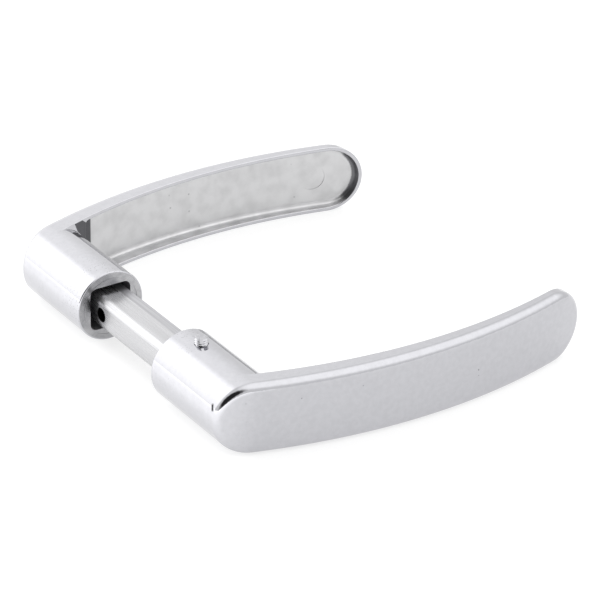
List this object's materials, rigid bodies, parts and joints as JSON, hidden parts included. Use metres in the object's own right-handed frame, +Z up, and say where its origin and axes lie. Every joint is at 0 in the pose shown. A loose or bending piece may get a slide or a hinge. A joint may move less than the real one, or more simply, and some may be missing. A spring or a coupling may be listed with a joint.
{
  "type": "door lever handle pair",
  "caption": "Chromed pair of curved lever handles on a square split spindle, with a slotted grub screw in each round neck.",
  "frame": {"origin": "on the spindle axis, midway between the two neck mouths", "axes": "+Y along the spindle axis from the front lever to the rear lever, +X along the grips towards their tips, +Z up"},
  "size_m": [0.1066, 0.1154, 0.0208],
  "materials": {
    "plated_casting": "bright chromium plate on die-cast zinc",
    "spindle_steel": "drawn steel, zinc plated, satin",
    "spindle_steel_dull": "drawn steel, zinc plated, dull",
    "screw_steel": "bright plated steel"
  },
  "bodies": {
    "spindle": {"spindle_wide_half": "spindle_steel", "spindle_narrow_half": "spindle_steel_dull"},
    "front_lever": {"front_lever": "plated_casting"},
    "rear_lever": {"rear_lever": "plated_casting"},
    "front_screw": {"front_grub_screw": "screw_steel"},
    "rear_screw": {"rear_grub_screw": "screw_steel"}
  },
  "joints": [
    {"name": "front_lever_slide", "type": "slide", "parent": "spindle", "child": "front_lever", "axis": [0, -1, 0], "range_m": [-0.0055, 0.01]},
    {"name": "rear_lever_slide", "type": "slide", "parent": "spindle", "child": "rear_lever", "axis": [0, 1, 0], "range_m": [-0.0055, 0.01]},
    {"name": "front_screw_travel", "type": "slide", "parent": "front_lever", "child": "front_screw", "axis": [0, 0, 1], "range_m": [-0.0017, 0.0015]},
    {"name": "rear_screw_travel", "type": "slide", "parent": "rear_lever", "child": "rear_screw", "axis": [0, 0, -1], "range_m": [0, 0.0032]}
  ]
}
